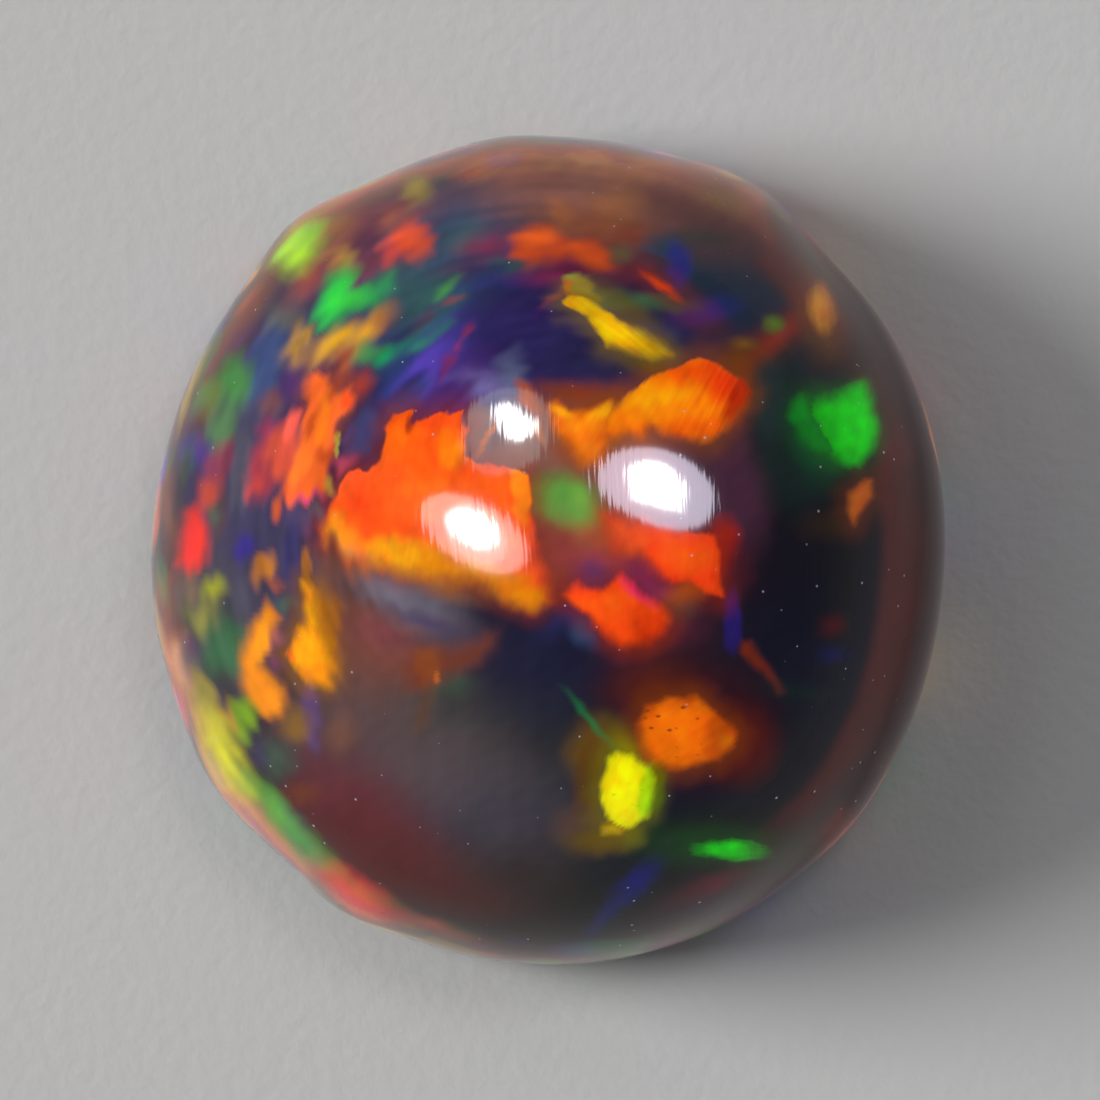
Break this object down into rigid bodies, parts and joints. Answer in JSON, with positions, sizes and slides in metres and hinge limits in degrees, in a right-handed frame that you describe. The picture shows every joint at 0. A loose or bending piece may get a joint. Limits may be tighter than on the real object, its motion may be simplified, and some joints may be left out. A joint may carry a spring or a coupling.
{
  "type": "opal cabochon",
  "caption": "Polished near-round opal cabochon with a high dome, a rolled lower edge and a flat back to rest on or to set against a seat.",
  "frame": {"origin": "middle of the outline, on the flat back that the stone rests on", "axes": "+Z out of the top of the dome, +Y along the slightly longer way across"},
  "size_m": [0.0098, 0.0104, 0.006],
  "materials": {
    "opal": "high polish, see-through and smoky, with play of colour"
  },
  "bodies": {
    "root": {"cabochon": "opal"}
  },
  "joints": []
}
